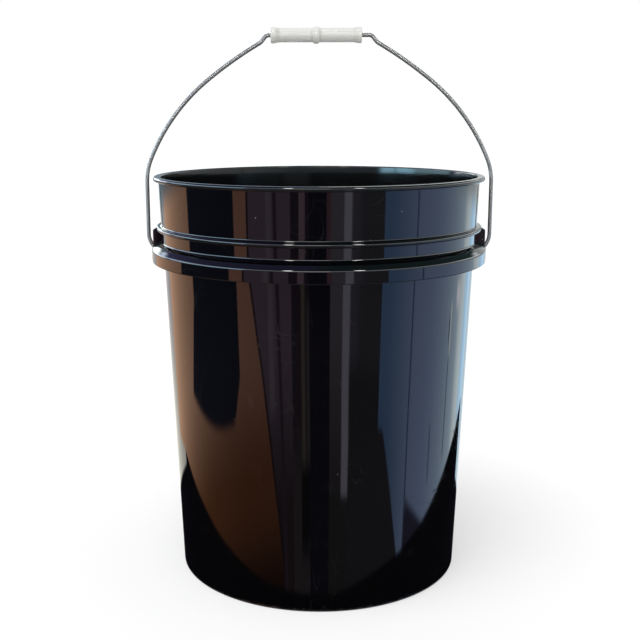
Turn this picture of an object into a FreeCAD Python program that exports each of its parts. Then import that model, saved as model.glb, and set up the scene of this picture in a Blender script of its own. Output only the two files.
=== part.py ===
import FreeCAD, Part
import math
import os

os.makedirs("parts", exist_ok=True)

V = FreeCAD.Vector

# ---- driving dimensions, millimetres; +Z up, origin on the floor at the middle of the base ----
# pail shell
PAIL_H = 368.0          # floor to the top of the rim
BASE_R = 130.75         # outer radius at the floor
TAPER = 0.0408          # growth of the outer radius per mm of height, below the skirt
WALL = 2.3              # side wall thickness
FLOOR_T = 2.5           # bottom panel thickness
FLOOR_Z = 7.5           # underside of the bottom panel above the floor
FOOT_W = 4.0            # width of the foot ring the pail stands on
FOOT_WEBS = 24          # small webs inside the foot ring
FOOT_WEB_T = 1.8
FOOT_WEB_REACH = 11.0
BASE_RINGS = (46.0, 88.0)   # radii of the stiffening rings under the bottom panel
BASE_RING_W = 1.8
BASE_RING_DROP = 2.2
GATE_R = 9.0            # pad under the middle of the bottom panel
GATE_DROP = 1.0
SINK = 0.8              # how far the base details run into the bottom panel
NECK_R = 144.2          # outer radius of the neck band just above the skirt
NECK_TOP_R = 146.3      # outer radius of the neck band at the rim
STEP_Z0 = 304.5         # the wall steps outwards between these heights, behind the skirt
STEP_Z1 = 308.5
# rim
RIM_R = 150.8
RIM_DROP = 3.9          # height of the bead
# mid rib
RIB_R = 149.2
RIB_Z = 319.7
RIB_H = 3.9
# skirt: an inverted channel around the pail that carries the bail ears
SKIRT_R = 153.4
SKIRT_Z = 291.2         # lower edge
SKIRT_EDGE_Z = 302.4    # outer top corner
SKIRT_TOP_Z = 309.0     # where the sloping top meets the wall
SKIRT_T = 2.3
GUSSETS = 28
GUSSET_T = 1.8
# ears
EAR_X = 152.2           # outer face of the ear above the skirt
EAR_LEDGE_Z = 303.2     # the ear steps back here from the skirt's outer face
EAR_HALF_W = 14.0
EAR_TOP_Z = 318.9       # outer top edge
EAR_ROOF_Z = 323.6      # where the roof meets the wall
EAR_T = 2.3
BOSS_X = 149.8          # inner face of the thickened ring around the ear hole
BOSS_R = 6.5
HOLE_R = 2.3
FLARE_R = 4.5           # mouth of the ear hole, opened for the bend of the wire
FLARE_X = 151.3
# bail
PIVOT_Z = 300.5
WIRE_R = 1.8
LEG_X = 158.1           # centre line of the upright legs
FOOT_SWEEP = 18.0       # slow bend at the bottom of the leg
FOOT_BEND = 5.0         # tighter bend into the ear
HOOK_X = 149.4          # where the retaining hook starts to turn
HOOK_BEND = 3.0
HOOK_TOP_Z = 307.0
SHOULDER_BEND = 55.0
SHOULDER_TURN = 23.0    # degrees of the last turn into the upright leg
FOOT_TURN = 40.0        # degrees of the slow bend at the bottom of the leg
GRIP_STRAIGHT = 44.7    # half length of the straight under the grip
DIP_BEND = 5.0          # the wire dips where it leaves the grip
DIP_TURN = 51.0
DIP_RUN = 3.7
RISE_BEND = 10.0        # and bends part of the way back
RISE_TURN = 21.0
CROWN_BEND = 380.0      # flatter arc next to the grip
CROWN_TURN = 8.4
# grip
GRIP_X = -2.4           # the grip rests a little towards the left of its travel
GRIP_Z = 491.9
GRIP_HALF = 40.7
GRIP_R = 6.2
COLLAR_R = 7.15
COLLAR_W = 2.4          # the ends are full size over this length
COLLAR_FLARE = 7.6      # and have run out to the plain sleeve here
RING_R = 7.5
RING_TOP = 1.5          # half width of the middle ring at its top and at its root
RING_ROOT = 3.2
GRIP_BORE = 2.05


def wall_r(z):
    """Outer radius of the tapering wall below the skirt."""
    return BASE_R + TAPER * z


def neck_r(z):
    """Outer radius of the neck band above the skirt."""
    return NECK_R + (NECK_TOP_R - NECK_R) * (z - STEP_Z1) / (PAIL_H - STEP_Z1)


def outline(corners):
    """Closed face in the XZ plane from (x, z, corner radius) corners."""
    n = len(corners)
    starts = []
    ends = []
    mids = []
    for i in range(n):
        px, pz, _ = corners[i - 1]
        cx, cz, rad = corners[i]
        nx, nz, _ = corners[(i + 1) % n]
        here = V(cx, 0, cz)
        back = V(px, 0, pz) - here
        ahead = V(nx, 0, nz) - here
        back.normalize()
        ahead.normalize()
        if rad <= 0:
            starts.append(here)
            ends.append(here)
            mids.append(None)
            continue
        half = back.getAngle(ahead) / 2
        reach = rad / math.tan(half)
        bisector = back + ahead
        bisector.normalize()
        starts.append(here + back * reach)
        ends.append(here + ahead * reach)
        mids.append(here + bisector * (rad / math.sin(half) - rad))
    edges = []
    for i in range(n):
        if mids[i] is not None:
            edges.append(Part.Arc(starts[i], mids[i], ends[i]).toShape())
        a = ends[i]
        b = starts[(i + 1) % n]
        if (b - a).Length > 1e-6:
            edges.append(Part.makeLine(a, b))
    return Part.Face(Part.Wire(edges))


def ring(corners):
    """Turn an outline about the pail's vertical axis."""
    return outline(corners).revolve(V(0, 0, 0), V(0, 0, 1), 360)


def shell():
    """Side wall, neck band, bottom panel and foot ring in one turned section."""
    top = PAIL_H
    bed = FLOOR_Z + FLOOR_T
    return ring([
        (0, FLOOR_Z, 0),
        (BASE_R - FOOT_W - 0.4, FLOOR_Z, 1.2),
        (BASE_R - FOOT_W, 0, 0.6),
        (BASE_R, 0, 1.6),
        (wall_r(STEP_Z0), STEP_Z0, 3.0),
        (neck_r(STEP_Z1), STEP_Z1, 3.0),
        (neck_r(top), top, 0),
        (neck_r(top) - WALL, top, 0.9),
        (neck_r(STEP_Z1) - WALL, STEP_Z1 - 1, 3.0),
        (wall_r(STEP_Z0) - WALL, STEP_Z0 - 1, 3.0),
        (wall_r(bed) - WALL, bed, 5.0),
        (0, bed, 0),
    ])


def rim_bead():
    """Solid bead around the mouth that a lid snaps over."""
    root = NECK_TOP_R - 1.2
    return ring([
        (root, PAIL_H - RIM_DROP, 0),
        (RIM_R, PAIL_H - RIM_DROP, 1.3),
        (RIM_R, PAIL_H, 1.7),
        (root, PAIL_H, 0),
    ])


def mid_rib():
    """Solid stiffening rib half way up the neck band."""
    root = NECK_R - 1.0
    return ring([
        (root, RIB_Z, 0),
        (RIB_R, RIB_Z, 1.4),
        (RIB_R, RIB_Z + RIB_H, 1.4),
        (root, RIB_Z + RIB_H, 0),
    ])


def skirt():
    """Inverted channel: sloping top and upright outer face, open below."""
    root = NECK_R - 1.2
    slope = (SKIRT_TOP_Z - SKIRT_EDGE_Z) / (SKIRT_R - NECK_R)
    drop = SKIRT_T * math.hypot(1, slope)
    root_z = SKIRT_TOP_Z + slope * (NECK_R - root)
    inner = SKIRT_R - SKIRT_T
    inner_z = SKIRT_EDGE_Z + slope * SKIRT_T - drop
    return ring([
        (root, root_z - drop, 0),
        (inner, inner_z, 1.0),
        (inner, SKIRT_Z, 0.7),
        (SKIRT_R, SKIRT_Z, 0.9),
        (SKIRT_R, SKIRT_EDGE_Z, 1.6),
        (root, root_z, 0),
    ])


def skirt_gussets():
    """Radial webs under the skirt, spaced so that none falls inside an ear."""
    slope = (SKIRT_TOP_Z - SKIRT_EDGE_Z) / (SKIRT_R - NECK_R)
    x0 = wall_r(SKIRT_Z) - 1.2      # runs into the wall
    x1 = SKIRT_R - 1.0              # and into the outer face of the skirt
    web = Part.Face(Part.makePolygon([
        V(x0, 0, SKIRT_Z + 7),
        V(x0 + 2, 0, SKIRT_Z + 2),
        V(x1, 0, SKIRT_Z + 2),
        V(x1, 0, SKIRT_EDGE_Z - 1),
        V(NECK_R, 0, SKIRT_TOP_Z - 1 - slope),
        V(x0, 0, SKIRT_TOP_Z - 2),
        V(x0, 0, SKIRT_Z + 7),
    ])).extrude(V(0, GUSSET_T, 0))
    web.translate(V(0, -GUSSET_T / 2, 0))
    webs = []
    for i in range(GUSSETS):
        one = web.copy()
        one.rotate(V(0, 0, 0), V(0, 0, 1), 360 * (i + 0.5) / GUSSETS)
        webs.append(one)
    return webs


def ear_section(inset, floor_z):
    """XZ section of an ear with its roof, shrunk by the given wall thickness."""
    slope = (EAR_ROOF_Z - EAR_TOP_Z) / (EAR_X - NECK_R)
    drop = inset * math.hypot(1, slope)
    x1 = EAR_X - inset
    x0 = NECK_R - 2
    low = SKIRT_R - inset
    return Part.Face(Part.makePolygon([
        V(x0, 0, floor_z),
        V(low, 0, floor_z),
        V(low, 0, EAR_LEDGE_Z - 1.4 - inset * 0.4),
        V(x1, 0, EAR_LEDGE_Z - inset * 0.4),
        V(x1, 0, EAR_TOP_Z + slope * inset - drop),
        V(x0, 0, EAR_TOP_Z + slope * (EAR_X - x0) - drop),
        V(x0, 0, floor_z),
    ]))


def ear_block():
    """Solid envelope of the +X ear with its outer edges rounded."""
    block = ear_section(0, SKIRT_Z).extrude(V(0, 2 * EAR_HALF_W, 0))
    block.translate(V(0, -EAR_HALF_W, 0))
    picked = []
    for edge in block.Edges:
        mid = edge.CenterOfMass
        upright = mid.x > EAR_X - 0.01 and abs(mid.y) > EAR_HALF_W - 0.1 and mid.z > EAR_LEDGE_Z
        brow = abs(mid.x - EAR_X) < 0.01 and abs(mid.z - EAR_TOP_Z) < 0.01
        if upright or brow:
            picked.append(edge)
    return block.makeFillet(1.4, picked)


def ear_pocket():
    """Room behind the ear plate for the retaining hook, open below."""
    pocket = ear_section(EAR_T, SKIRT_Z - 5).extrude(V(0, 2 * (EAR_HALF_W - EAR_T), 0))
    pocket.translate(V(0, EAR_T - EAR_HALF_W, 0))
    return pocket


def ear_hole():
    """Hole through the ear plate with a flared mouth on the outside."""
    hole = Part.makeCylinder(HOLE_R, 10, V(BOSS_X - 3, 0, PIVOT_Z), V(1, 0, 0))
    reach = SKIRT_R - FLARE_X
    steep = (FLARE_R - HOLE_R) / reach
    mouth = Part.makeCone(HOLE_R, FLARE_R + steep, reach + 1, V(FLARE_X, 0, PIVOT_Z), V(1, 0, 0))
    return hole.fuse(mouth)


def both_sides(shape):
    """The shape and its half-turn copy on the -X side."""
    other = shape.copy()
    other.rotate(V(0, 0, 0), V(0, 0, 1), 180)
    return [shape, other]


def base_details():
    """Gussets inside the foot ring, two stiffening rings and the gate pad under the floor."""
    parts = []
    root_z = FLOOR_Z + SINK
    draft = 0.3
    for radius in BASE_RINGS:
        parts.append(ring([
            (radius, FLOOR_Z - BASE_RING_DROP, 0.4),
            (radius + BASE_RING_W, FLOOR_Z - BASE_RING_DROP, 0.4),
            (radius + BASE_RING_W + draft, root_z, 0),
            (radius - draft, root_z, 0),
        ]))
    pad = Part.makeCone(GATE_R - 1, GATE_R, GATE_DROP + 0.6, V(0, 0, FLOOR_Z - GATE_DROP))
    parts.append(pad)
    x1 = BASE_R - FOOT_W + 1
    x0 = x1 - FOOT_WEB_REACH
    web = Part.Face(Part.makePolygon([
        V(x1, 0, 2.0),
        V(x1, 0, root_z),
        V(x0, 0, root_z),
        V(x0, 0, FLOOR_Z - 1.2),
        V(x1, 0, 2.0),
    ])).extrude(V(0, FOOT_WEB_T, 0))
    web.translate(V(0, -FOOT_WEB_T / 2, 0))
    for i in range(FOOT_WEBS):
        one = web.copy()
        one.rotate(V(0, 0, 0), V(0, 0, 1), 360 * i / FOOT_WEBS)
        parts.append(one)
    return parts


def pail_body():
    """The one-piece moulded pail."""
    collar = skirt().fuse(both_sides(ear_block()))
    for pocket in both_sides(ear_pocket()):
        collar = collar.cut(pocket)
    boss = Part.makeCylinder(BOSS_R, EAR_X - 0.6 - BOSS_X, V(BOSS_X, 0, PIVOT_Z), V(1, 0, 0))
    collar = collar.fuse(both_sides(boss))
    body = shell().fuse([rim_bead(), mid_rib(), collar] + base_details() + skirt_gussets())
    for hole in both_sides(ear_hole()):
        body = body.cut(hole)
    return body.removeSplitter()


class Bend:
    """Traces a wire centre line in the XZ plane from straights and arcs."""

    def __init__(self, x, z, heading):
        self.at = V(x, 0, z)
        self.heading = heading
        self.edges = []

    def go(self, length):
        a = math.radians(self.heading)
        end = self.at + V(math.cos(a), 0, math.sin(a)) * length
        self.edges.append(Part.makeLine(self.at, end))
        self.at = end

    def turn(self, radius, degrees):
        """Positive degrees turn to the left, negative to the right."""
        side = 1 if degrees > 0 else -1
        a0 = math.radians(self.heading + 90 * side)
        centre = self.at + V(math.cos(a0), 0, math.sin(a0)) * radius
        out = a0 + math.pi
        am = out + math.radians(degrees / 2)
        a1 = out + math.radians(degrees)
        mid = centre + V(math.cos(am), 0, math.sin(am)) * radius
        end = centre + V(math.cos(a1), 0, math.sin(a1)) * radius
        self.edges.append(Part.Arc(self.at, mid, end).toShape())
        self.at = end
        self.heading = self.heading + degrees


def bail_half():
    """Wire from the middle of the grip to the retaining hook in the +X ear."""
    line = Bend(0, GRIP_Z, 0)
    line.go(GRIP_STRAIGHT)
    line.turn(DIP_BEND, -DIP_TURN)
    line.go(DIP_RUN)
    line.turn(RISE_BEND, RISE_TURN)
    line.turn(CROWN_BEND, -CROWN_TURN)
    # the next arc is sized so that the shoulder lands on the leg
    crown = DIP_TURN - RISE_TURN + CROWN_TURN
    shoulder = 90 - SHOULDER_TURN
    crown_s = math.sin(math.radians(crown))
    shoulder_s = math.sin(math.radians(shoulder))
    gap = LEG_X - line.at.x - SHOULDER_BEND * (1 - shoulder_s)
    line.turn(gap / (shoulder_s - crown_s), crown - shoulder)
    line.turn(SHOULDER_BEND, -SHOULDER_TURN)
    foot_s = math.sin(math.radians(FOOT_TURN))
    line.go(line.at.z - PIVOT_Z - FOOT_SWEEP * foot_s - FOOT_BEND * (1 - foot_s))
    line.turn(FOOT_SWEEP, -FOOT_TURN)
    line.turn(FOOT_BEND, FOOT_TURN - 90)
    line.go(line.at.x - HOOK_X)
    line.turn(HOOK_BEND, -90)
    line.go(HOOK_TOP_Z - line.at.z)
    path = Part.Wire(line.edges)
    section = Part.Wire([Part.makeCircle(WIRE_R, V(0, 0, GRIP_Z), V(1, 0, 0))])
    return path.makePipeShell([section], True, False)


def bail_wire():
    """Both halves of the bail joined under the grip."""
    half = bail_half()
    return half.fuse(half.mirror(V(0, 0, 0), V(1, 0, 0))).removeSplitter()


def handle_grip():
    """Moulded grip turned about the wire, with flared ends and a narrow middle ring."""
    g = GRIP_HALF
    tube = outline([
        (-g, GRIP_BORE, 0.5),
        (-g, COLLAR_R, 0.9),
        (-g + COLLAR_W, COLLAR_R, 2.5),
        (-g + COLLAR_FLARE, GRIP_R, 6.0),
        (-RING_ROOT, GRIP_R, 1.4),
        (-RING_TOP, RING_R, 0.9),
        (RING_TOP, RING_R, 0.9),
        (RING_ROOT, GRIP_R, 1.4),
        (g - COLLAR_FLARE, GRIP_R, 6.0),
        (g - COLLAR_W, COLLAR_R, 2.5),
        (g, COLLAR_R, 0.9),
        (g, GRIP_BORE, 0.5),
    ]).revolve(V(0, 0, 0), V(1, 0, 0), 360)
    tube.translate(V(GRIP_X, 0, GRIP_Z))
    return tube


pail_body().exportStep("parts/pail_body.step")
bail_wire().exportStep("parts/bail_wire.step")
handle_grip().exportStep("parts/handle_grip.step")
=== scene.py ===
import math

import bmesh
import bpy
from mathutils import Matrix, Vector

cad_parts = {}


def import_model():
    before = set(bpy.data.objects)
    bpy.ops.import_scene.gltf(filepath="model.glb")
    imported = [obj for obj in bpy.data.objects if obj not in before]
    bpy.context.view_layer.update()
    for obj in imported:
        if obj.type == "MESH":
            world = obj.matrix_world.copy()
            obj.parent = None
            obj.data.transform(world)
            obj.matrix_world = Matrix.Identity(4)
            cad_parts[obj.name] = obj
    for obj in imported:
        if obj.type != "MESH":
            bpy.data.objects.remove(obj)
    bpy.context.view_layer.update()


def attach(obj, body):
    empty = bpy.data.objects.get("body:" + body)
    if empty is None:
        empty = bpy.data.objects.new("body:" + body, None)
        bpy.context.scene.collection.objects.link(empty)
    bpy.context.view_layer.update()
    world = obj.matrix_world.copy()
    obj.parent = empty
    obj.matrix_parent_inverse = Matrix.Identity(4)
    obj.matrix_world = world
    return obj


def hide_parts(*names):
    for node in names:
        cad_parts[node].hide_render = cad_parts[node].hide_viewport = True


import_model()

MM = 0.001

# ---- sizes that repeat the CAD part, millimetres; +Z up, origin on the floor under the pail ----
# pail shell
PAIL_H = 368.0              # floor to the top of the rim
BASE_R = 130.75             # outer radius at the floor
TAPER = 0.0408              # growth of the outer radius per mm of height, below the skirt
WALL = 2.3
FLOOR_T = 2.5               # bottom panel thickness
FLOOR_Z = 7.5               # underside of the bottom panel
FOOT_W = 4.0                # width of the foot ring
FOOT_WEBS = 24              # small webs inside the foot ring
FOOT_WEB_T = 1.8
FOOT_WEB_REACH = 11.0
FOOT_WEB_LOW = 2.0
BASE_RINGS = (46.0, 88.0)   # radii of the stiffening rings under the bottom panel
BASE_RING_W = 1.8
BASE_RING_DROP = 2.2
BASE_RING_DRAFT = 0.4
GATE_R = 9.0                # pad under the middle of the bottom panel
GATE_DROP = 1.0
SINK = 0.8                  # how far the base webs run into the bottom panel
NECK_R = 144.2              # outer radius of the neck band just above the skirt
NECK_TOP_R = 146.3          # and at the rim
STEP_Z0 = 304.5             # the wall steps outwards between these heights, behind the skirt
STEP_Z1 = 308.5
# rim and middle rib
RIM_R = 150.8
RIM_DROP = 3.9
RIB_R = 149.2
RIB_Z = 319.7
RIB_H = 3.9
# skirt: an inverted channel round the pail that carries the ears
SKIRT_R = 153.4
SKIRT_Z = 291.2             # lower edge
SKIRT_EDGE_Z = 302.4        # outer top corner
SKIRT_TOP_Z = 309.0         # where the sloping top meets the wall
SKIRT_T = 2.3
SKIRT_SLOPE = (SKIRT_TOP_Z - SKIRT_EDGE_Z) / (SKIRT_R - NECK_R)
GUSSETS = 28
GUSSET_T = 1.8
# ears
EAR_X = 152.2               # outer face above the skirt
EAR_LEDGE_Z = 303.2         # the ear steps back here from the skirt's outer face
EAR_HALF_W = 14.0
EAR_TOP_Z = 318.9           # outer top edge
EAR_ROOF_Z = 323.6          # where the roof meets the wall
EAR_T = 2.3
BOSS_X = 149.8              # inner face of the thick ring round the hole
BOSS_R = 6.5
BOSS_SINK = 0.6             # the boss ends this far inside the ear plate
HOLE_R = 2.3
FLARE_R = 4.5               # mouth of the hole, opened for the bend of the wire
FLARE_X = 151.3
# bail
PIVOT_Z = 300.5
WIRE_R = 1.8
LEG_X = 158.1               # centre line of the upright legs
FOOT_SWEEP = 18.0           # slow bend at the bottom of the leg
FOOT_TURN = 40.0
FOOT_BEND = 5.0             # tighter bend into the ear
HOOK_X = 149.4              # where the retaining hook starts to turn
HOOK_BEND = 3.0
HOOK_TOP_Z = 307.0
SHOULDER_BEND = 55.0
SHOULDER_TURN = 23.0
GRIP_STRAIGHT = 44.7        # half length of the straight under the grip
DIP_BEND = 5.0              # the wire dips where it leaves the grip
DIP_TURN = 51.0
DIP_RUN = 3.7
RISE_BEND = 10.0            # and bends part of the way back
RISE_TURN = 21.0
CROWN_BEND = 380.0          # flatter arc next to the grip
CROWN_TURN = 8.4
# grip
GRIP_X = -2.4
GRIP_Z = 491.9
GRIP_HALF = 40.7
GRIP_R = 6.2
COLLAR_R = 7.15
COLLAR_W = 2.4              # the ends are full size over this length
COLLAR_FLARE = 7.6          # and have run out to the plain sleeve here
RING_R = 7.5
RING_TOP = 1.5              # half width of the middle ring at its top and at its root
RING_ROOT = 3.2
GRIP_BORE = 2.05

# ---- looks that the CAD part leaves out, millimetres and degrees ----
CROWN_OUT = 0.6             # the skirt's sloping top bulges outwards and upwards
CROWN_UP = 0.8
LIP_FLARE = 0.25            # the inside of the rim opens over this depth
LIP_DEPTH = 5.5
EAR_ROUND = 0.8             # rounding of the ear edges
RIB_ROUND = 0.25            # rounding of the web edges
WIRE_BREAK = 0.3            # small break on the wire's sheared ends
SEAM_TILT = -24.0           # the grip's parting lines lie on this axis
SEAM_RAISE = 0.16
SEAM_TOP = 0.7              # half angle of a parting line at its top and at its root
SEAM_ROOT = 1.5

# ---- mesh density ----
EDGE_HOLD = 0.12            # a point this close to each end of a straight keeps its shading flat
EAR_COLUMNS = 10            # columns of the shell behind each ear
OPEN_COLUMNS = 190          # and between the ears, on each side
COLUMN_GAP = 0.12           # degrees between the two kinds of column
WIRE_SIDES = 28
HOLE_SIDES = 64
GRIP_SIDES = 60             # on each half of the grip


# ---------------------------------------------------------------- mesh tools
def make_object(name, verts, faces, smooth_angle=40.0):
    """A mesh object from millimetre vertices, smooth except at sharp corners."""
    mesh = bpy.data.meshes.new(name)
    mesh.from_pydata([(x * MM, y * MM, z * MM) for x, y, z in verts], [], faces)
    mesh.validate()
    bm = bmesh.new()
    bm.from_mesh(mesh)
    bmesh.ops.recalc_face_normals(bm, faces=bm.faces)
    bm.to_mesh(mesh)
    bm.free()
    mesh.shade_smooth()
    mesh.set_sharp_from_angle(angle=math.radians(smooth_angle))
    obj = bpy.data.objects.new(name, mesh)
    bpy.context.scene.collection.objects.link(obj)
    return obj


def rounded(corners, closed=False, step=6.0, arc_deg=9.0):
    """Dense points along an outline of (x, z, corner radius) corners."""
    n = len(corners)
    pts = []
    for i in range(n):
        cx, cz, rad = corners[i]
        here = Vector((cx, cz))
        ends = not closed and i in (0, n - 1)
        if rad <= 0 or ends:
            pts.append(here)
            continue
        back = (Vector(corners[i - 1][:2]) - here).normalized()
        ahead = (Vector(corners[(i + 1) % n][:2]) - here).normalized()
        half = back.angle(ahead) / 2
        reach = rad / math.tan(half)
        bis = (back + ahead).normalized()
        centre = here + bis * (rad / math.sin(half))
        a = here + back * reach - centre
        b = here + ahead * reach - centre
        turn = a.angle(b)
        count = max(3, math.ceil(math.degrees(turn) / arc_deg))
        for k in range(count + 1):
            t = k / count
            s0 = math.sin((1 - t) * turn) / math.sin(turn)
            s1 = math.sin(t * turn) / math.sin(turn)
            pts.append(centre + a * s0 + b * s1)
    dense = []
    m = len(pts)
    for i in range(m if closed else m - 1):
        a = pts[i]
        b = pts[(i + 1) % m]
        gap = (b - a).length
        count = max(1, math.ceil(gap / step))
        if gap > 6 * EDGE_HOLD:
            hold = EDGE_HOLD / gap
            stops = [0, hold] + [k / count for k in range(1, count)] + [1 - hold]
        else:
            stops = [k / count for k in range(count)]
        for t in stops:
            dense.append(a.lerp(b, t))
    if not closed:
        dense.append(pts[-1])
    return dense


def lathe(name, columns, angles):
    """Full turn about Z. columns has one list of (r, z) per angle, which starts and ends on the axis."""
    verts = []
    faces = []
    n = len(angles)
    m = len(columns[0])
    verts.append((0, 0, columns[0][0][1]))
    verts.append((0, 0, columns[0][-1][1]))
    for a, column in zip(angles, columns):
        c = math.cos(a)
        s = math.sin(a)
        for r, z in column[1:-1]:
            verts.append((r * c, r * s, z))
    k = m - 2
    for j in range(n):
        p = 2 + j * k
        q = 2 + ((j + 1) % n) * k
        faces.append((0, p, q))
        faces.append((1, q + k - 1, p + k - 1))
        for i in range(k - 1):
            faces.append((p + i, p + i + 1, q + i + 1, q + i))
    obj = make_object(name, verts, faces)
    sharpen_seams(obj, columns)
    return obj


def sharpen_seams(obj, columns):
    """Where two sections meet, a crisp seam keeps each from bending the other's shading."""
    n = len(columns)
    k = len(columns[0]) - 2
    seams = set()
    for j in range(n):
        one = columns[j - 1]
        other = columns[j]
        for i in range(k - 1):
            if one[i + 1] != other[i + 1] or one[i + 2] != other[i + 2]:
                for p in (2 + (j - 1) % n * k, 2 + j * k):
                    seams.add((p + i, p + i + 1))
    for edge in obj.data.edges:
        if tuple(sorted(edge.vertices)) in seams:
            edge.use_edge_sharp = True


def prism(section, half_width, place=None):
    """Vertices and faces of a closed XZ section extruded along Y by +-half_width."""
    n = len(section)
    verts = [(x, -half_width, z) for x, z in section] + [(x, half_width, z) for x, z in section]
    faces = [tuple(range(n)), tuple(range(2 * n - 1, n - 1, -1))]
    for i in range(n):
        o = (i + 1) % n
        faces.append((i, o, n + o, n + i))
    if place is not None:
        verts = [tuple(place @ Vector(v)) for v in verts]
    return verts, faces


def merge(parts):
    """One vertex and face list from several."""
    verts = []
    faces = []
    for v, f in parts:
        base = len(verts)
        verts.extend(v)
        faces.extend([tuple(base + i for i in face) for face in f])
    return verts, faces


# ---------------------------------------------------------------- pail shell
def wall_r(z):
    """Outer radius of the tapering wall below the skirt."""
    return BASE_R + TAPER * z


def neck_r(z):
    """Outer radius of the neck band above the skirt."""
    return NECK_R + (NECK_TOP_R - NECK_R) * (z - STEP_Z1) / (PAIL_H - STEP_Z1)


def shell_outline():
    """The pail's section with the skirt: underside, outside, rim and inside, as rounded corners."""
    bed = FLOOR_Z + FLOOR_T
    pad = FLOOR_Z - GATE_DROP
    below = [(0, pad, 0), (GATE_R - 1, pad, 0.4), (GATE_R - 0.4, FLOOR_Z, 0.4)]
    for r in BASE_RINGS:
        below += [
            (r - BASE_RING_DRAFT, FLOOR_Z, 0.4),
            (r, FLOOR_Z - BASE_RING_DROP, 0.4),
            (r + BASE_RING_W, FLOOR_Z - BASE_RING_DROP, 0.4),
            (r + BASE_RING_W + BASE_RING_DRAFT, FLOOR_Z, 0.4),
        ]
    below += [
        (BASE_R - FOOT_W - 0.4, FLOOR_Z, 1.2),
        (BASE_R - FOOT_W, 0, 0.6),
        (BASE_R, 0, 1.6),
    ]
    # the channel under the skirt: its top corner at the wall, then its outer corner
    drop = SKIRT_T * math.hypot(1, SKIRT_SLOPE)
    hub = wall_r(300.0)
    hub_z = SKIRT_TOP_Z + SKIRT_SLOPE * (NECK_R - hub) - drop
    inner = SKIRT_R - SKIRT_T
    inner_z = SKIRT_EDGE_Z + SKIRT_SLOPE * SKIRT_T - drop
    crown_r = (SKIRT_R + NECK_R) / 2 + CROWN_OUT
    crown_z = (SKIRT_EDGE_Z + SKIRT_TOP_Z) / 2 + CROWN_UP
    skirt = [
        (hub, hub_z, 1.0),
        (inner, inner_z, 1.0),
        (inner, SKIRT_Z, 0.7),
        (SKIRT_R, SKIRT_Z, 0.9),
        (SKIRT_R, SKIRT_EDGE_Z, 2.4),
        (crown_r, crown_z, 9.0),
        (neck_r(SKIRT_TOP_Z), SKIRT_TOP_Z, 1.6),
    ]
    rib_top = RIB_Z + RIB_H
    under = PAIL_H - RIM_DROP
    lip = PAIL_H - LIP_DEPTH
    above = [
        (neck_r(RIB_Z), RIB_Z, 0.8),
        (RIB_R, RIB_Z, 1.5),
        (RIB_R, rib_top, 1.9),
        (neck_r(rib_top), rib_top, 1.4),
        (neck_r(under), under, 0.6),
        (RIM_R, under, 1.3),
        (RIM_R, PAIL_H, 1.7),
        (NECK_TOP_R - WALL + LIP_FLARE, PAIL_H, 1.1),
        (neck_r(lip) - WALL, lip, 110.0),
        (neck_r(STEP_Z1) - WALL, STEP_Z1 - 1, 3.0),
        (wall_r(STEP_Z0) - WALL, STEP_Z0 - 1, 3.0),
        (wall_r(bed) - WALL, bed, 5.0),
        (0, bed, 0),
    ]
    return rounded(below + skirt + above)


def shell_columns():
    """Points of the section with the skirt, and as many points without it for use inside the ears."""
    full = shell_outline()
    # the skirt's first and last point: it stands clear of the wall in between
    low = SKIRT_Z - 40
    high = SKIRT_TOP_Z + 20
    first = min(i for i, p in enumerate(full) if low < p.y < high and p.x > wall_r(p.y) + 0.02)
    last = max(i for i, p in enumerate(full) if p.y < SKIRT_TOP_Z + 0.7 and p.x > NECK_R + 0.05)
    lead = first - 1
    span = last + 1 - lead
    z0 = full[lead].y
    z1 = max(full[last + 1].y, SKIRT_TOP_Z + 1)
    plain = [p.copy() for p in full]
    for k in range(1, span):
        z = z0 + (z1 - z0) * k / span
        r = wall_r(z)
        if z > STEP_Z0:
            up = min(1, (z - STEP_Z0) / (STEP_Z1 - STEP_Z0))
            r = wall_r(STEP_Z0) + (NECK_R - wall_r(STEP_Z0)) * up
        plain[lead + k] = Vector((r, z))
    return [(p.x, p.y) for p in full], [(p.x, p.y) for p in plain]


def pail_shell():
    """Wall, floor, foot, rib, rim and skirt as one closed turned skin, left plain inside the ears."""
    full, plain = shell_columns()
    ear = math.asin((EAR_HALF_W - EAR_T * 0.5) / SKIRT_R)
    gap = math.radians(COLUMN_GAP)
    angles = []
    columns = []
    for side in (0.0, math.pi):
        for k in range(EAR_COLUMNS):
            angles.append(side - ear + 2 * ear * k / (EAR_COLUMNS - 1))
            columns.append(plain)
        start = side + ear + gap
        stop = side + math.pi - ear - gap
        for k in range(OPEN_COLUMNS):
            angles.append(start + (stop - start) * k / (OPEN_COLUMNS - 1))
            columns.append(full)
    return lathe("pail_shell", columns, angles)


def turned(angle_deg):
    """Turn about the pail's axis."""
    return Matrix.Rotation(math.radians(angle_deg), 4, "Z")


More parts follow.
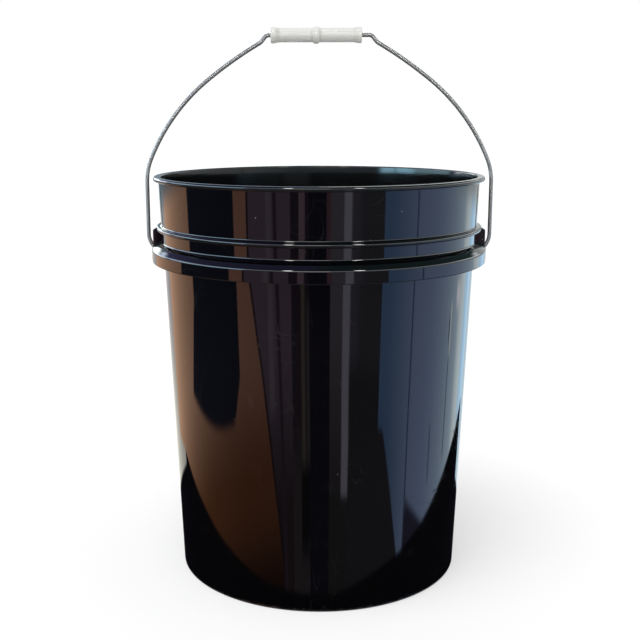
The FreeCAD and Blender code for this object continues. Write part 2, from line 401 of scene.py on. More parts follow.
def pail_ribs():
    """Webs under the skirt and between the foot ring and the floor panel."""
    x0 = wall_r(SKIRT_Z) - 1.2      # runs into the wall
    x1 = SKIRT_R - 1.0              # and into the outer face of the skirt
    gusset = [
        (x0, SKIRT_Z + 7),
        (x0 + 2, SKIRT_Z + 2),
        (x1, SKIRT_Z + 2),
        (x1, SKIRT_EDGE_Z - 1),
        (NECK_R, SKIRT_TOP_Z - 1 - SKIRT_SLOPE),
        (x0, SKIRT_TOP_Z - 2),
    ]
    parts = []
    for i in range(GUSSETS):
        parts.append(prism(gusset, GUSSET_T / 2, turned(360 * (i + 0.5) / GUSSETS)))
    xf = BASE_R - FOOT_W + 1
    web = [
        (xf, FOOT_WEB_LOW),
        (xf, FLOOR_Z + SINK),
        (xf - FOOT_WEB_REACH, FLOOR_Z + SINK),
        (xf - FOOT_WEB_REACH, FLOOR_Z - 1.2),
    ]
    for i in range(FOOT_WEBS):
        parts.append(prism(web, FOOT_WEB_T / 2, turned(360 / FOOT_WEBS * i)))
    verts, faces = merge(parts)
    obj = make_object("pail_ribs", verts, faces, 30)
    apply_bevel(obj, RIB_ROUND, 2)
    return obj


def apply_modifiers(obj):
    """Bakes an object's modifiers into its mesh."""
    graph = bpy.context.evaluated_depsgraph_get()
    mesh = bpy.data.meshes.new_from_object(obj.evaluated_get(graph))
    obj.modifiers.clear()
    old = obj.data
    obj.data = mesh
    bpy.data.meshes.remove(old)


def apply_bevel(obj, width, segments):
    """Rounds the edges where faces meet at more than 35 degrees."""
    mod = obj.modifiers.new("bevel", "BEVEL")
    mod.width = width * MM
    mod.segments = segments
    mod.limit_method = "ANGLE"
    mod.angle_limit = math.radians(35)
    apply_modifiers(obj)
    obj.data.shade_smooth()
    obj.data.set_sharp_from_angle(angle=math.radians(40))


def boolean(obj, other, operation):
    """Cuts or joins obj with other, which is used up."""
    mod = obj.modifiers.new("boolean", "BOOLEAN")
    mod.object = other
    mod.operation = operation
    mod.solver = "EXACT"
    apply_modifiers(obj)
    bpy.data.objects.remove(other)


def weld(obj, distance):
    """Joins points that lie closer than distance."""
    bm = bmesh.new()
    bm.from_mesh(obj.data)
    bmesh.ops.remove_doubles(bm, verts=bm.verts, dist=distance * MM)
    bm.to_mesh(obj.data)
    bm.free()


def ear_section(inset, floor_z, back=0.0):
    """XZ outline of an ear shrunk by a wall thickness; back carries it further into the pail wall."""
    slope = (EAR_ROOF_Z - EAR_TOP_Z) / (EAR_X - NECK_R)
    drop = inset * math.hypot(1, slope)
    x1 = EAR_X - inset
    x0 = NECK_R - 1.6 - back
    low = SKIRT_R - inset
    return [
        (x0, floor_z),
        (low, floor_z),
        (low, EAR_LEDGE_Z - 1.4 - inset * 0.4),
        (x1, EAR_LEDGE_Z - inset * 0.4),
        (x1, EAR_TOP_Z + slope * inset - drop),
        (x0, EAR_TOP_Z + slope * (EAR_X - x0) - drop),
    ]


def turned_x(outline):
    """Closed skin of (x, radius) points turned about the pivot axis, which both ends lie on."""
    verts = [(outline[0][0], 0, PIVOT_Z), (outline[-1][0], 0, PIVOT_Z)]
    ring = outline[1:-1]
    k = len(ring)
    faces = []
    for j in range(HOLE_SIDES):
        a = 2 * math.pi * j / HOLE_SIDES
        for x, r in ring:
            verts.append((x, r * math.cos(a), PIVOT_Z + r * math.sin(a)))
    for j in range(HOLE_SIDES):
        p = 2 + j * k
        q = 2 + ((j + 1) % HOLE_SIDES) * k
        faces.append((0, q, p))
        faces.append((1, p + k - 1, q + k - 1))
        for i in range(k - 1):
            faces.append((p + i, q + i, q + i + 1, p + i + 1))
    return verts, faces


def pail_ear(name, side):
    """Hollow ear open below, with a flared hole for the bail."""
    verts, faces = prism(ear_section(0, SKIRT_Z), EAR_HALF_W)
    obj = make_object(name, verts, faces)
    apply_bevel(obj, EAR_ROUND, 5)
    # the pocket is longer than the ear below and towards the wall, so that it leaves no skin there
    pocket = prism(ear_section(EAR_T, SKIRT_Z - 5, 2.0), EAR_HALF_W - EAR_T)
    boolean(obj, make_object("pocket", *pocket), "DIFFERENCE")
    back = EAR_X - BOSS_SINK
    boss = [
        (BOSS_X, 0),
        (BOSS_X, BOSS_R - 0.5),
        (BOSS_X + 0.5, BOSS_R),
        (back, BOSS_R),
        (back, 0),
    ]
    boolean(obj, make_object("boss", *turned_x(boss)), "UNION")
    steep = (FLARE_R - HOLE_R) / (SKIRT_R - FLARE_X)
    start = BOSS_X - 3
    stop = SKIRT_R + 1
    ease = 0.35     # the hole's inner edge is broken by this much
    brink = SKIRT_R - 0.3
    mouth = [
        (start, 0),
        (start, HOLE_R + 1),
        (BOSS_X - 0.01, HOLE_R + ease),
        (BOSS_X + ease, HOLE_R),
        (FLARE_X, HOLE_R),
        (brink, HOLE_R + steep * (brink - FLARE_X)),
        (SKIRT_R + 0.01, FLARE_R + 0.25),
        (stop, FLARE_R + 1.2),
        (stop, 0),
    ]
    boolean(obj, make_object("hole", *turned_x(mouth)), "DIFFERENCE")
    if side < 0:
        obj.data.transform(turned(180))
    weld(obj, 0.001)
    obj.data.shade_smooth()
    obj.data.set_sharp_from_angle(angle=math.radians(20))
    mod = obj.modifiers.new("flat_faces", "WEIGHTED_NORMAL")
    mod.keep_sharp = True
    apply_modifiers(obj)
    return obj


# ---------------------------------------------------------------- bail
class Bend:
    """Wire centre line in the XZ plane as dense points."""

    def __init__(self, x, z, heading):
        self.at = Vector((x, z))
        self.heading = heading
        self.points = [(x, z, heading)]

    def go(self, length, step=4.0):
        """Straight ahead."""
        count = max(1, math.ceil(length / step))
        a = math.radians(self.heading)
        for _ in range(count):
            self.at = self.at + Vector((math.cos(a), math.sin(a))) * (length / count)
            self.points.append((self.at.x, self.at.y, self.heading))

    def turn(self, radius, degrees, step=1.5):
        """Arc to the left, or to the right when the degrees are negative."""
        side = 1 if degrees > 0 else -1
        a0 = math.radians(self.heading + 90 * side)
        centre = self.at + Vector((math.cos(a0), math.sin(a0))) * radius
        count = max(6, math.ceil(radius * math.radians(abs(degrees)) / step))
        start = self.heading
        for k in range(1, count + 1):
            turned_by = degrees * k / count
            out = a0 + math.pi + math.radians(turned_by)
            self.at = centre + Vector((math.cos(out), math.sin(out))) * radius
            self.heading = start + turned_by
            self.points.append((self.at.x, self.at.y, self.heading))


def bail_line():
    """Right half of the wire, from the middle of the grip to the end of the hook."""
    line = Bend(0, GRIP_Z, 0)
    line.go(GRIP_STRAIGHT)
    line.turn(DIP_BEND, -DIP_TURN, 0.5)
    line.go(DIP_RUN, 1.0)
    line.turn(RISE_BEND, RISE_TURN, 0.7)
    line.turn(CROWN_BEND, -CROWN_TURN, 3.0)
    # one big arc spans what is left between the crown and the shoulder
    crown = DIP_TURN - RISE_TURN + CROWN_TURN
    shoulder = 90.0 - SHOULDER_TURN
    s = math.sin(math.radians(shoulder))
    gap = LEG_X - line.at.x - SHOULDER_BEND * (1 - s)
    line.turn(gap / (s - math.sin(math.radians(crown))), crown - shoulder)
    line.turn(SHOULDER_BEND, -SHOULDER_TURN)
    # upright leg, then the two bends into the ear and the retaining hook behind it
    s = math.sin(math.radians(FOOT_TURN))
    line.go(line.at.y - PIVOT_Z - FOOT_SWEEP * s - FOOT_BEND * (1 - s))
    line.turn(FOOT_SWEEP, -FOOT_TURN, 1.0)
    line.turn(FOOT_BEND, FOOT_TURN - 90, 0.5)
    line.go(line.at.x - HOOK_X)
    line.turn(HOOK_BEND, -90, 0.4)
    line.go(HOOK_TOP_Z - line.at.y)
    return line.points


def bail_rows():
    """(x, z, normal, radius) along the whole wire, with a small break at its sheared ends."""
    half = bail_line()
    points = [(-x, z, -h) for x, z, h in reversed(half[1:])] + half
    rows = []
    for x, z, heading in points:
        a = math.radians(heading)
        rows.append((x, z, (-math.sin(a), math.cos(a)), WIRE_R))
    for end, inner, place in ((0, 1, 0), (-1, -2, len(rows) + 1)):
        x, z, normal, radius = rows[end]
        inward = Vector((points[inner][0] - x, points[inner][1] - z)).normalized()
        rows[end] = (x + inward.x * WIRE_BREAK, z + inward.y * WIRE_BREAK, normal, radius)
        rows.insert(place, (x, z, normal, radius - WIRE_BREAK))
    return rows


def bail():
    """Round wire swept along its centre line, with a grain that follows the wire for its finish."""
    rows = bail_rows()
    ring = WIRE_SIDES
    verts = []
    grain = []
    run = 0.0
    before = rows[0]
    for row in rows:
        x, z, normal, radius = row
        run += math.hypot(x - before[0], z - before[1])
        before = row
        for j in range(ring):
            a = 2 * math.pi * j / ring
            off = radius * math.cos(a)
            verts.append((x + normal[0] * off, radius * math.sin(a), z + normal[1] * off))
            grain.extend((WIRE_R * math.cos(a) * MM, WIRE_R * math.sin(a) * MM, run * MM))
    faces = []
    m = len(rows)
    for i in range(m - 1):
        for j in range(ring):
            o = (j + 1) % ring
            faces.append((i * ring + j, i * ring + o, (i + 1) * ring + o, (i + 1) * ring + j))
    faces.append(tuple(range(ring - 1, -1, -1)))
    faces.append(tuple((m - 1) * ring + j for j in range(ring)))
    obj = make_object("bail_rod", verts, faces, 50)
    layer = obj.data.attributes.new("grain", "FLOAT_VECTOR", "POINT")
    layer.data.foreach_set("vector", grain)
    return obj


# ---------------------------------------------------------------- grip
def grip():
    """Turned grip with flared ends, a middle ring and a fine parting line on both sides."""
    right = [
        (RING_TOP, RING_R, 0.9),
        (RING_ROOT, GRIP_R, 1.4),
        (GRIP_HALF - COLLAR_FLARE, GRIP_R, 6.0),
        (GRIP_HALF - COLLAR_W, COLLAR_R, 2.5),
        (GRIP_HALF, COLLAR_R, 0.9),
        (GRIP_HALF, GRIP_BORE, 0.5),
    ]
    left = [(-x, r, corner) for x, r, corner in reversed(right)]
    outline = rounded(left + right, closed=True, step=2.0, arc_deg=8)
    profile = [(p.x, p.y) for p in outline]
    turns = []
    between = 180.0 - 2 * SEAM_ROOT
    for seam in (0, 180):
        turns += [(seam - SEAM_ROOT, 0.0), (seam - SEAM_TOP, SEAM_RAISE)]
        turns += [(seam + SEAM_TOP, SEAM_RAISE), (seam + SEAM_ROOT, 0.0)]
        for k in range(1, GRIP_SIDES):
            turns.append((seam + SEAM_ROOT + between * k / GRIP_SIDES, 0.0))
    verts = []
    faces = []
    m = len(profile)
    n = len(turns)
    for angle, raised in turns:
        a = math.radians(angle + SEAM_TILT)
        for x, r in profile:
            out = r + raised if r > GRIP_BORE + 1.5 else r
            verts.append((GRIP_X + x, out * math.cos(a), GRIP_Z + out * math.sin(a)))
    for j in range(n):
        p = j * m
        q = ((j + 1) % n) * m
        for i in range(m):
            o = (i + 1) % m
            faces.append((p + i, p + o, q + o, q + i))
    return make_object("grip_sleeve", verts, faces, 40)


# ---------------------------------------------------------------- materials
def new_material(name):
    """Material, its node tree and its surface shader."""
    mat = bpy.data.materials.new(name)
    mat.use_nodes = True
    return mat, mat.node_tree, mat.node_tree.nodes["Principled BSDF"]


class Graph:
    """Small helper that builds scalar and colour sums out of nodes."""

    def __init__(self, tree):
        self.tree = tree

    def put(self, socket, value):
        """Sets an input to a number or a colour, or links it to a socket."""
        if isinstance(value, (int, float)):
            socket.default_value = value
        elif isinstance(value, tuple):
            socket.default_value = (*value, 1) if len(socket.default_value) == 4 else value
        else:
            self.tree.links.new(value, socket)

    def math(self, operation, *values):
        node = self.tree.nodes.new("ShaderNodeMath")
        node.operation = operation
        for socket, value in zip(node.inputs, values):
            self.put(socket, value)
        return node.outputs[0]

    def vector(self, operation, *values):
        node = self.tree.nodes.new("ShaderNodeVectorMath")
        node.operation = operation
        for socket, value in zip(node.inputs, values):
            self.put(socket, value)
        return node.outputs[1] if operation == "LENGTH" else node.outputs[0]

    def line(self, start, slope, along):
        """start + slope * along, or just the number when there is no slope."""
        if slope == 0:
            return start
        return self.math("MULTIPLY_ADD", along, slope, start)

    def step(self, value, low, high, a=0.0, b=1.0):
        """a below low and b above high, with a soft step between them."""
        node = self.tree.nodes.new("ShaderNodeMapRange")
        node.interpolation_type = "SMOOTHSTEP"
        sockets = ("Value", "From Min", "From Max", "To Min", "To Max")
        for name, v in zip(sockets, (value, low, high, a, b)):
            self.put(node.inputs[name], v)
        return node.outputs["Result"]

    def above(self, value, edge, soft):
        """0 below the edge and 1 above it, with a soft step."""
        return self.step(self.math("SUBTRACT", value, edge), -soft / 2, soft / 2)

    def both(self, *values):
        """Product of several masks."""
        out = values[0]
        for value in values[1:]:
            out = self.math("MULTIPLY", out, value)
        return out

    def mix(self, mask, a, b):
        """Colour a where the mask is 0 and b where it is 1."""
        node = self.tree.nodes.new("ShaderNodeMix")
        node.data_type = "RGBA"
        self.put(node.inputs[0], mask)
        self.put(node.inputs[6], a)
        self.put(node.inputs[7], b)
        return node.outputs[2]

    def blend(self, mask, a, b):
        """Number a where the mask is 0 and b where it is 1."""
        node = self.tree.nodes.new("ShaderNodeMix")
        for socket, value in zip(node.inputs, (mask, None, a, b)):
            if value is not None:
                self.put(socket, value)
        return node.outputs[0]

    def noise(self, vector, scale, detail=2.0, rough=0.5, warp=0.0):
        node = self.tree.nodes.new("ShaderNodeTexNoise")
        self.put(node.inputs["Vector"], vector)
        node.inputs["Scale"].default_value = scale
        node.inputs["Detail"].default_value = detail
        node.inputs["Roughness"].default_value = rough
        node.inputs["Distortion"].default_value = warp
        return node.outputs["Fac"]

    def cells(self, vector, scale):
        """Distance to the nearest seed point, and a random colour for each cell."""
        node = self.tree.nodes.new("ShaderNodeTexVoronoi")
        self.put(node.inputs["Vector"], vector)
        node.inputs["Scale"].default_value = scale
        return node.outputs["Distance"], node.outputs["Color"]

    def hairs(self, vector, scale, width, warp=0.6):
        """Thin wandering lines, as hair scratches."""
        n = self.noise(vector, scale, 1.0, 0.4, warp)
        away = self.math("ABSOLUTE", self.math("SUBTRACT", n, 0.5))
        return self.step(away, 0.0, width, 1.0, 0.0)

    def bump(self, height, distance, under=None):
        """Height is in units of distance, which is in metres."""
        node = self.tree.nodes.new("ShaderNodeBump")
        node.inputs["Strength"].default_value = 1.0
        node.inputs["Distance"].default_value = distance
        self.put(node.inputs["Height"], height)
        if under is not None:
            self.tree.links.new(under, node.inputs["Normal"])
        return node.outputs["Normal"]

    def place(self):
        """Object position, in metres."""
        return self.tree.nodes.new("ShaderNodeTexCoord").outputs["Object"]

    def split(self, vector):
        node = self.tree.nodes.new("ShaderNodeSeparateXYZ")
        self.tree.links.new(vector, node.inputs[0])
        return node.outputs


def pail_material():
    """Injection-moulded gloss black: mirror smooth outside with faint flow lines, satin and scuffed
    inside with painted sheen in its lighter black, rubbed on the foot ring and the crest of the rim,
    with a little dust."""
    mat, tree, shader = new_material("pail_gloss_black")
    g = Graph(tree)
    at = g.place()
    z = g.split(at)[2]
    radius = g.vector("LENGTH", g.vector("MULTIPLY", at, (1.0, 1.0, 0.0)))
    middle = g.line((BASE_R - WALL / 2) * MM, TAPER, z)
    within = g.step(g.math("SUBTRACT", middle, radius), -0.0003, 0.0003)
    inside = g.both(within, g.step(z, 0.0082, 0.0096))
    # masks
    upright = g.vector("MULTIPLY", at, (1.0, 1.0, 0.03))
    rings = g.vector("MULTIPLY", at, (0.05, 0.05, 1.0))
    cloud = g.noise(at, 9.0, 3.0, 0.55)
    flow = g.noise(upright, 260.0, 3.0, 0.6)
    swirl = g.noise(rings, 900.0, 2.0, 0.5)
    patchy = g.step(g.noise(at, 26.0, 2.0, 0.5), 0.50, 0.66)
    hair = g.both(g.hairs(g.vector("MULTIPLY", at, (1.0, 1.0, 0.35)), 34.0, 0.0035), patchy)
    hair_across = g.both(g.hairs(g.vector("MULTIPLY", at, (0.35, 0.35, 1.0)), 48.0, 0.0045), patchy)
    scratch = g.math("MAXIMUM", hair, hair_across)
    ragged = g.math("ADD", z, g.math("MULTIPLY", g.noise(upright, 420.0, 2.0), 0.006))
    foot = g.step(ragged, 0.0030, 0.0060, 1.0, 0.0)
    top = g.step(z, (PAIL_H - 0.5) * MM, PAIL_H * MM)
    crest = g.both(top, g.step(g.noise(at, 300.0, 3.0, 0.6), 0.56, 0.70))
    rubbed = g.math("MAXIMUM", foot, crest)
    near, tint = g.cells(at, 120.0)
    chosen = g.step(g.split(tint)[0], 0.955, 0.96)
    specks = g.both(g.step(near, 0.03, 0.07, 1.0, 0.0), chosen)
    # colour
    # the inside gets a lighter black than the outside: painted sheen for its satin skin
    black = g.mix(inside, (0.0012, 0.0012, 0.0016), (0.0034, 0.0036, 0.0042))
    dusty = g.math("MULTIPLY", g.step(cloud, 0.45, 0.75), g.blend(inside, 0.02, 0.10))
    colour = g.mix(dusty, black, (0.030, 0.029, 0.027))
    colour = g.mix(g.math("MULTIPLY", scratch, 0.10), colour, (0.09, 0.09, 0.09))
    colour = g.mix(g.math("MULTIPLY", rubbed, 0.55), colour, (0.040, 0.040, 0.042))
    colour = g.mix(g.math("MULTIPLY", specks, 0.8), colour, (0.30, 0.29, 0.27))
    tree.links.new(colour, shader.inputs["Base Color"])
    # roughness
    outer = g.math("MULTIPLY_ADD", cloud, 0.035, 0.012)
    outer = g.math("MULTIPLY_ADD", g.step(flow, 0.55, 0.80), 0.02, outer)
    inner = g.math("MULTIPLY_ADD", swirl, 0.10, 0.05)
    rough = g.blend(inside, outer, inner)
    rough = g.blend(g.math("MULTIPLY", scratch, 0.5), rough, 0.30)
    rough = g.blend(rubbed, rough, 0.42)
    tree.links.new(rough, shader.inputs["Roughness"])
    # surface
    wave = g.bump(g.noise(at, 8.0, 1.0, 0.3), 0.00045)
    lines = g.bump(flow, 0.0000022, wave)
    skin = g.bump(g.noise(at, 520.0, 2.0, 0.5), 0.0000018, lines)
    turned_marks = g.bump(g.math("MULTIPLY", swirl, inside), 0.000012, skin)
    worn = g.bump(g.math("MULTIPLY", g.noise(at, 900.0, 2.0), rubbed), 0.00012, turned_marks)
    cuts = g.bump(scratch, -0.000006, worn)
    tree.links.new(cuts, shader.inputs["Normal"])
    shader.inputs["IOR"].default_value = 1.52
    return mat


def wire_material():
    """Drawn steel wire, zinc plated: lengthwise die lines, cloudy spangle and dull oxide blooms."""
    mat, tree, shader = new_material("zinc_wire")
    g = Graph(tree)
    node = tree.nodes.new("ShaderNodeAttribute")
    node.attribute_name = "grain"
    grain = node.outputs["Vector"]
    along = g.vector("MULTIPLY", grain, (1.0, 1.0, 0.02))
    streak = g.noise(along, 2600.0, 3.0, 0.6)
    cloud = g.noise(grain, 130.0, 3.0, 0.6)
    bloom = g.step(g.noise(grain, 420.0, 4.0, 0.65), 0.54, 0.66)
    nick = g.step(g.noise(grain, 900.0, 1.0, 0.5, 0.5), 0.72, 0.78)
    tone = g.mix(cloud, (0.26, 0.26, 0.255), (0.36, 0.36, 0.35))
    tone = g.mix(g.math("MULTIPLY", streak, 0.30), tone, (0.19, 0.19, 0.19))
    tone = g.mix(g.math("MULTIPLY", bloom, 0.35), tone, (0.36, 0.365, 0.36))
    tree.links.new(tone, shader.inputs["Base Color"])
    tree.links.new(g.blend(bloom, 0.70, 0.62), shader.inputs["Metallic"])
    rough = g.math("MULTIPLY_ADD", cloud, 0.14, 0.46)
    rough = g.math("MULTIPLY_ADD", bloom, 0.12, rough)
    tree.links.new(rough, shader.inputs["Roughness"])
    lines = g.bump(streak, 0.000002)
    pits = g.bump(nick, -0.000006, lines)
    tree.links.new(pits, shader.inputs["Normal"])
    return mat


def grip_material():
    """Off-white moulded polythene with a satin skin, flow marks and darker patches in its grooves."""
    mat, tree, shader = new_material("grip_off_white")
    g = Graph(tree)
    at = g.vector("SUBTRACT", g.place(), (GRIP_X * MM, 0.0, GRIP_Z * MM))
    x = g.split(at)[0]
    radius = g.vector("LENGTH", g.vector("MULTIPLY", at, (0.0, 1.0, 1.0)))
    off = g.math("ABSOLUTE", x)
    cloud = g.noise(at, 70.0, 3.0, 0.6)
    fine = g.noise(g.vector("MULTIPLY", at, (0.25, 1.0, 1.0)), 900.0, 3.0, 0.6)
    by_ring = g.step(off, 0.0030, 0.0062, 1.0, 0.0)
    low = g.step(radius, (GRIP_R + 0.15) * MM, (GRIP_R + 0.9) * MM, 1.0, 0.0)
    by_end = g.both(g.step(off, 0.0310, 0.0345), low)
    groove = g.math("MAXIMUM", g.both(by_ring, low), by_end)
    # darker yellowish patches in the grooves beside the middle ring and next to the end collars
    groove_darkening = g.both(groove, g.step(cloud, 0.35, 0.70))
    smudge = g.step(g.noise(at, 120.0, 4.0, 0.65, 0.4), 0.56, 0.74)
    hair = g.hairs(g.vector("MULTIPLY", at, (0.5, 1.0, 1.0)), 190.0, 0.012)
    scuff = g.both(hair, g.step(cloud, 0.5, 0.62))
    tone = g.mix(cloud, (0.74, 0.74, 0.70), (0.80, 0.80, 0.77))
    tone = g.mix(g.math("MULTIPLY", groove_darkening, 0.45), tone, (0.40, 0.39, 0.34))
    tone = g.mix(g.math("MULTIPLY", smudge, 0.16), tone, (0.48, 0.47, 0.42))
    tone = g.mix(g.math("MULTIPLY", scuff, 0.25), tone, (0.45, 0.44, 0.40))
    tree.links.new(tone, shader.inputs["Base Color"])
    rough = g.math("MULTIPLY_ADD", fine, 0.18, 0.34)
    tree.links.new(g.math("MULTIPLY_ADD", smudge, 0.12, rough), shader.inputs["Roughness"])
    skin = g.bump(fine, 0.00002)
    lumps = g.bump(cloud, 0.00018, skin)
    cuts = g.bump(scuff, -0.00003, lumps)
    tree.links.new(cuts, shader.inputs["Normal"])
    shader.inputs["IOR"].default_value = 1.51
    shader.inputs["Subsurface Weight"].default_value = 0.12
    shader.inputs["Subsurface Radius"].default_value = (1.0, 0.9, 0.75)
    shader.inputs["Subsurface Scale"].default_value = 0.0015
    return mat


# ---------------------------------------------------------------- build
shell = pail_shell()
ribs = pail_ribs()
ears = [pail_ear("pail_ear_right", 1), pail_ear("pail_ear_left", -1)]
pail_paint = pail_material()
for obj in [shell, ribs] + ears:
    obj.data.materials.clear()
    obj.data.materials.append(pail_paint)
    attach(obj, "pail")
    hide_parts("pail_body")

wire = bail()
wire.data.materials.append(wire_material())
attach(wire, "bail")
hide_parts("bail_wire")

hand = grip()
hand.data.materials.append(grip_material())
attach(hand, "grip")
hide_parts("handle_grip")


# ---------------------------------------------------------------- stage
def floor():
    """Pale floor whose own faint glow keeps the contact shadow light."""
    size = 9000     # half the side, millimetres
    verts = [(-size, -size, 0), (size, -size, 0), (size, size, 0), (-size, size, 0)]
    obj = make_object("stage_floor", verts, [(0, 1, 2, 3)])
    mat, _, shader = new_material("stage_floor")
    shader.inputs["Base Color"].default_value = (0.58, 0.58, 0.58, 1)
    shader.inputs["Roughness"].default_value = 0.9
    shader.inputs["Specular IOR Level"].default_value = 0.0
    shader.inputs["Emission Color"].default_value = (1, 1, 1, 1)
    shader.inputs["Emission Strength"].default_value = 0.42
    obj.data.materials.append(mat)
    obj.visible_glossy = False


def room(g, heading, height):
    """What the gloss sees: a plain room of panels. heading is 0 towards the front and grows to the
    right, height is above the horizon, both in degrees."""
    black = (0.006, 0.006, 0.009)

    def edge(value, along):
        return g.line(value[0], value[1], along) if isinstance(value, tuple) else value

    def panel(under, colour, left, right, low, high=90, soft=0.7):
        """A patch between two headings and two heights; an edge is a number, a socket, or
        (start, slope) when it leans."""
        mask = g.both(
            g.above(heading, edge(left, height), soft),
            g.above(edge(right, height), heading, soft),
            g.above(height, edge(low, heading), soft),
            g.above(edge(high, heading), height, soft),
        )
        return g.mix(mask, under, colour)

    deep = -40      # the walls run down behind the dark floor
    # warm wall on the left, darker towards the floor
    warm_top = g.mix(g.above(heading, -92, 90), (1.38, 0.82, 0.54), (1.04, 0.50, 0.34))
    warm_low = g.mix(g.above(height, -28, 6), (0.07, 0.022, 0.008), (0.45, 0.160, 0.062))
    warm = g.mix(g.above(height, -21, 8), warm_low, warm_top)
    pale_wall = g.mix(g.above(height, -15, 8), (1.15, 1.12, 1.0), (0.80, 0.76, 0.75))
    view = panel(black, pale_wall, -181, -140, deep, soft=8)
    seam = g.math("MAXIMUM", -51.3, g.line(-70.0, -1.42, height))
    view = panel(view, warm, -146, seam, deep, soft=1.0)
    # dark doorway in the warm wall
    door = (0.035, 0.040, 0.070)
    left = g.math("MINIMUM", -105.0, g.line(-84.9, 1.577, height))
    reach = g.math("MINIMUM", 0, g.math("ADD", heading, 72))
    lower = g.math("MULTIPLY_ADD", g.math("MULTIPLY", reach, reach), 0.0019, -21.08)
    right = g.math("MINIMUM", -61.3, g.line(-10.5, 2.7, height))
    view = panel(view, door, left, right, lower, soft=0.8)
    view = panel(view, (1.15, 1.12, 1.0), -181, -132.5, deep, (-34.9, -0.11), soft=0.7)
    # middle: narrow upright panels
    plum = g.mix(g.above(height, -22, 10), (0.10, 0.065, 0.075), (0.38, 0.27, 0.37))
    view = panel(view, plum, seam, -18.5, deep, soft=0.8)
    line_at = g.math("ADD", seam, 1.3)
    view = panel(view, (0.06, 0.04, 0.05), seam, line_at, deep, soft=0.9)
    view = panel(view, (0.50, 0.40, 0.48), -37, -33, -21, soft=2.5)
    view = panel(view, (0.13, 0.085, 0.12), (-34.0, -0.22), (-31.5, -0.22), deep, soft=1.6)
    mid = g.mix(g.above(height, -23, 4), (0.15, 0.12, 0.13), (0.085, 0.055, 0.085))
    view = panel(view, mid, -19.5, -5, deep)
    view = panel(view, (0.20, 0.17, 0.17), -8.6, -6.2, -24, -15, soft=1.6)
    view = panel(view, (0.30, 0.25, 0.20), -12.4, -9.8, -27, soft=1.4)
    view = panel(view, (0.02, 0.018, 0.02), -13, -4, -29, -24, soft=1.6)
    view = panel(view, (0.60, 0.40, 0.50), -13.6, -9.4, -13.2, soft=1.0)
    view = panel(view, (0.03, 0.022, 0.045), -6.5, 9, deep)
    view = panel(view, (0.36, 0.19, 0.24), 5.6, 8.6, -13.2, soft=1.0)
    slab = g.mix(g.above(height, -20, 12), (0.13, 0.11, 0.12), (0.36, 0.31, 0.38))
    view = panel(view, slab, 8.5, 24, deep)
    view = panel(view, (0.98, 0.92, 1.15), 17.6, 22.8, -26, soft=1.2)
    view = panel(view, (0.085, 0.085, 0.08), 8.5, 24, deep, -25.6)
    side_top = g.mix(g.above(heading, 29, 6), (0.23, 0.21, 0.28), (0.15, 0.14, 0.17))
    side = g.mix(g.above(height, -18.5, 2), (0.095, 0.085, 0.10), side_top)
    view = panel(view, side, 23.6, 76, deep)
    # cool wall on the right
    near = g.mix(g.above(height, -22, 8), (0.20, 0.42, 0.80), (0.34, 0.61, 1.12))
    blue = g.mix(g.above(heading, 64, 32), near, (0.78, 1.02, 1.62))
    cool = g.mix(g.above(heading, 108, 50), blue, (1.06, 1.36, 1.60))
    view = panel(view, cool, 46.5, 150, deep, soft=0.8)
    view = panel(view, side, 40, (-6.5, -2.65), deep, -21.5, soft=0.8)
    view = panel(view, (0.20, 0.33, 0.62), 72.6, 73.8, deep, soft=0.9)
    view = panel(view, (0.11, 0.10, 0.19), 73.4, 96, deep, (-22.8, -0.027), soft=0.8)
    view = panel(view, (2.2, 2.1, 2.3), 124, 140, -12.6, -11.2, soft=1.2)
    view = panel(view, (1.9, 2.15, 2.1), 116.4, 118.0, -15.4, -12.8, soft=0.9)
    view = panel(view, (0.22, 0.18, 0.40), 114.8, 116.0, -15.0, -13.6, soft=0.9)
    view = panel(view, (0.40, 0.52, 0.75), 115.6, 117.0, -21, -15.8, soft=1.0)
    view = panel(view, (0.45, 0.55, 0.80), 96.5, 98, -23, -20, soft=1.0)
    view = panel(view, (1.60, 1.85, 1.95), 129, 143, deep, soft=6)
    view = panel(view, (1.1, 1.62, 2.1), 139, 155, deep, soft=5)
    view = panel(view, (0.90, 1.06, 1.15), 153, 181, deep, soft=6)
    # the dark floor of the room, reaching higher at the sides
    turn = g.math("ABSOLUTE", g.math("ADD", heading, 2.0))
    rise = g.math("MULTIPLY", turn, turn)
    skirting = g.math("MULTIPLY_ADD", rise, 0.00062, -30.9)
    back = g.math("ABSOLUTE", g.math("SUBTRACT", heading, 8.5))
    behind = g.math("MULTIPLY", g.above(back, 141.5, 3), 40)
    skirting = g.math("MINIMUM", skirting, g.math("SUBTRACT", 19.2, behind))
    view = g.mix(g.above(height, skirting, 0.35), black, view)
    # a pool of light on the floor round the pail, and a tall window behind it
    pool = g.mix(g.above(heading, 0, 200), (0.36, 0.31, 0.29), (0.27, 0.32, 0.40))
    view = panel(view, pool, -181, 181, -95, -42, soft=15)
    for left, right in ((-181, -150), (150, 181)):
        view = panel(view, (0.22, 0.24, 0.28), left, right, -60, -30, soft=7)
    for left, right in ((-181, -171.5), (171.5, 181)):
        view = panel(view, (1.5, 1.6, 1.75), left, right, -58, -11, soft=2.5)
    # dim lintel over the walls with two small windows in it
    lintel = g.mix(g.above(heading, 40, 60), (0.28, 0.36, 0.42), (0.75, 0.80, 0.80))
    view = panel(view, lintel, -181, 181, -6, soft=2)
    view = panel(view, (2.0, 3.3, 3.8), -118, -72, 1.5, 14, soft=5)
    view = panel(view, (3.6, 6.8, 8.6), -79, -50, 1.5, 14, soft=6)
    view = panel(view, (4.2, 4.5, 4.5), -165, -126, 0, 14, soft=6)
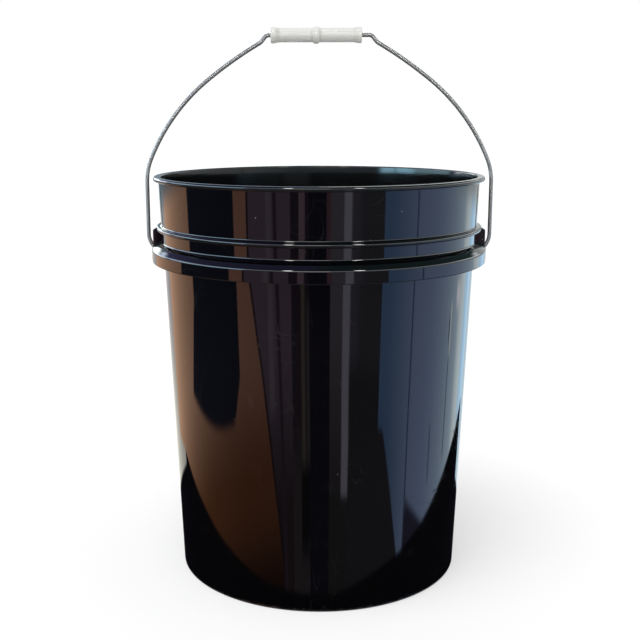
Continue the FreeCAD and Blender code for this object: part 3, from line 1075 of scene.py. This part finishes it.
    # a pale band of light above that, then a dark ceiling with two lamps
    band = g.mix(g.above(heading, -45, 30), (2.4, 2.8, 3.5), (2.3, 2.4, 2.5))
    view = panel(view, band, -146, 146, 9, 50, soft=6)
    view = panel(view, (3.8, 5.2, 6.4), -108, -50, 9, 22, soft=4)
    view = panel(view, (5.2, 5.2, 4.9), -22, 8, 9, 34, soft=4)
    ceiling = g.mix(g.above(heading, 0, 60), (0.15, 0.15, 0.34), (0.07, 0.13, 0.13))
    high = g.blend(g.above(heading, 132, 26), 29, 19)
    high = g.blend(g.above(heading, -128, 16), 21, high)
    view = g.mix(g.above(height, high, 5), view, ceiling)
    for lamp in (-23.0, 31.0):
        view = panel(view, (34, 34, 33), lamp - 3.2, lamp + 3.2, 33, 46, soft=2)
    return view


def world():
    """Even pale light, with a plain room for the gloss to reflect."""
    w = bpy.data.worlds.new("studio")
    bpy.context.scene.world = w
    w.use_nodes = True
    tree = w.node_tree
    g = Graph(tree)
    out = tree.nodes["World Output"]
    pale = tree.nodes["Background"]
    pale.inputs["Color"].default_value = (1, 1, 1, 1)
    pale.inputs["Strength"].default_value = 0.72
    seen = tree.nodes.new("ShaderNodeBackground")
    seen.inputs["Color"].default_value = (1.0, 1.0, 1.0, 1)
    gloss = tree.nodes.new("ShaderNodeBackground")
    x, y, z = g.split(tree.nodes.new("ShaderNodeTexCoord").outputs["Generated"])
    heading = g.math("MULTIPLY", g.math("ARCTAN2", x, g.math("MULTIPLY", y, -1)), 180 / math.pi)
    height = g.math("MULTIPLY", g.math("ARCSINE", z), 180 / math.pi)
    tree.links.new(room(g, heading, height), gloss.inputs["Color"])
    path = tree.nodes.new("ShaderNodeLightPath")
    light = pale.outputs["Background"]
    for ray, shader in (("Is Glossy Ray", gloss), ("Is Camera Ray", seen)):
        node = tree.nodes.new("ShaderNodeMixShader")
        tree.links.new(path.outputs[ray], node.inputs["Fac"])
        tree.links.new(light, node.inputs[1])
        tree.links.new(shader.outputs["Background"], node.inputs[2])
        light = node.outputs["Shader"]
    tree.links.new(light, out.inputs["Surface"])


def sun(name, place, aim, power, spread):
    """Soft light from place towards aim, which the gloss does not show."""
    data = bpy.data.lights.new(name, "SUN")
    data.energy = power
    data.angle = math.radians(spread)
    obj = bpy.data.objects.new(name, data)
    obj.location = place
    obj.rotation_euler = (Vector(aim) - Vector(place)).to_track_quat("-Z", "Y").to_euler()
    obj.visible_glossy = False
    bpy.context.scene.collection.objects.link(obj)


def camera():
    """A little above the rim, looking slightly down."""
    data = bpy.data.cameras.new("camera")
    data.sensor_width = 36.0
    data.lens = 58.65
    data.shift_x = 0.0287
    data.clip_end = 50
    obj = bpy.data.objects.new("camera", data)
    ahead = Vector((-0.01712, 0.97940, -0.20120))
    right = Vector((0.99985, 0.01713, -0.00167))
    up = right.cross(ahead).normalized()
    right = ahead.cross(up).normalized()
    turn = Matrix((right, up, -ahead)).transposed().to_4x4()
    obj.matrix_world = Matrix.Translation((0.00093, -0.965, 0.430)) @ turn
    bpy.context.scene.collection.objects.link(obj)
    bpy.context.scene.camera = obj


floor()
world()
sun("key", (-0.5, -0.8, 2.6), (0, 0, 0.2), 1.35, 35)
camera()
bpy.context.scene.view_settings.view_transform = "Standard"
